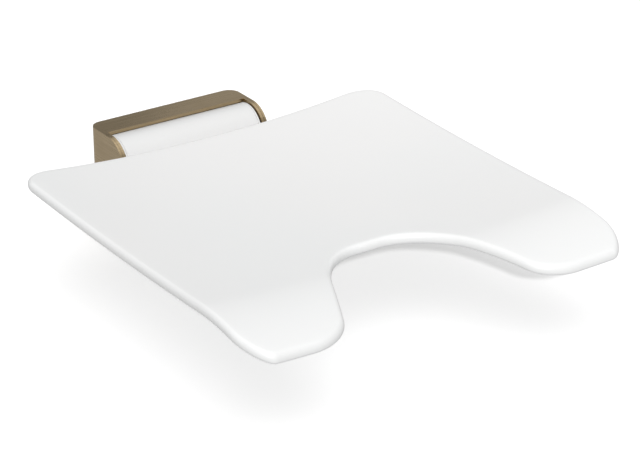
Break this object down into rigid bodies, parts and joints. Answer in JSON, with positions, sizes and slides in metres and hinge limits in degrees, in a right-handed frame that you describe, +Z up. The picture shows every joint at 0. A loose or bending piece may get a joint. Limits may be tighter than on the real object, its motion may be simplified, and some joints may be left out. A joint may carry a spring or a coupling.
{
  "type": "wall-mounted folding shower seat",
  "caption": "Wall-mounted folding shower seat: white contoured plate with a horseshoe front cut-out on a bronze hinge console.",
  "frame": {"origin": "point of the wall plate's back face level with the hinge axis, midway between the cheeks", "axes": "+Y into the wall, +Z up, +X to the right when facing the wall; the seat reaches out along -Y"},
  "size_m": [0.45, 0.5532, 0.1014],
  "materials": {
    "seat_shell": "moulded white plastic with a fine even texture, satin",
    "hinge_cover": "smooth moulded white plastic, satin",
    "bronze_metal": "dark bronze coated steel, brushed along the width",
    "coated_steel": "white powder coat",
    "plain_steel": "plain stainless steel",
    "friction_lining": "matt friction lining",
    "stop_rubber": "matt black polyurethane",
    "bearing_plastic": "dry bearing plastic"
  },
  "bodies": {
    "console": {"housing": "bronze_metal", "wall_plate": "plain_steel", "left_lug": "bronze_metal", "right_lug": "bronze_metal", "stop_bar": "plain_steel", "left_stop_pad": "stop_rubber", "right_stop_pad": "stop_rubber", "cover_bracket": "plain_steel", "left_cover_screw": "plain_steel", "right_cover_screw": "plain_steel", "hinge_shaft": "plain_steel", "left_retaining_ring": "plain_steel", "right_retaining_ring": "plain_steel", "left_spring_washer": "plain_steel", "right_spring_washer": "plain_steel", "left_friction_washer": "friction_lining", "right_friction_washer": "friction_lining"},
    "seat": {"seat_plate": "seat_shell", "hinge_drum": "hinge_cover", "left_drum_cap": "hinge_cover", "right_drum_cap": "hinge_cover", "hinge_hub": "plain_steel", "left_bush": "bearing_plastic", "right_bush": "bearing_plastic", "left_arm": "coated_steel", "right_arm": "coated_steel", "rear_strap": "coated_steel", "front_strap": "coated_steel", "seat_screw_1": "plain_steel", "seat_screw_2": "plain_steel", "seat_screw_3": "plain_steel", "seat_screw_4": "plain_steel", "seat_screw_5": "plain_steel", "seat_screw_6": "plain_steel"}
  },
  "joints": [
    {"name": "seat_fold", "type": "hinge", "parent": "console", "child": "seat", "pos_m": [0, -0.044, 0], "axis": [-1, 0, 0], "range_deg": [0, 90]}
  ]
}
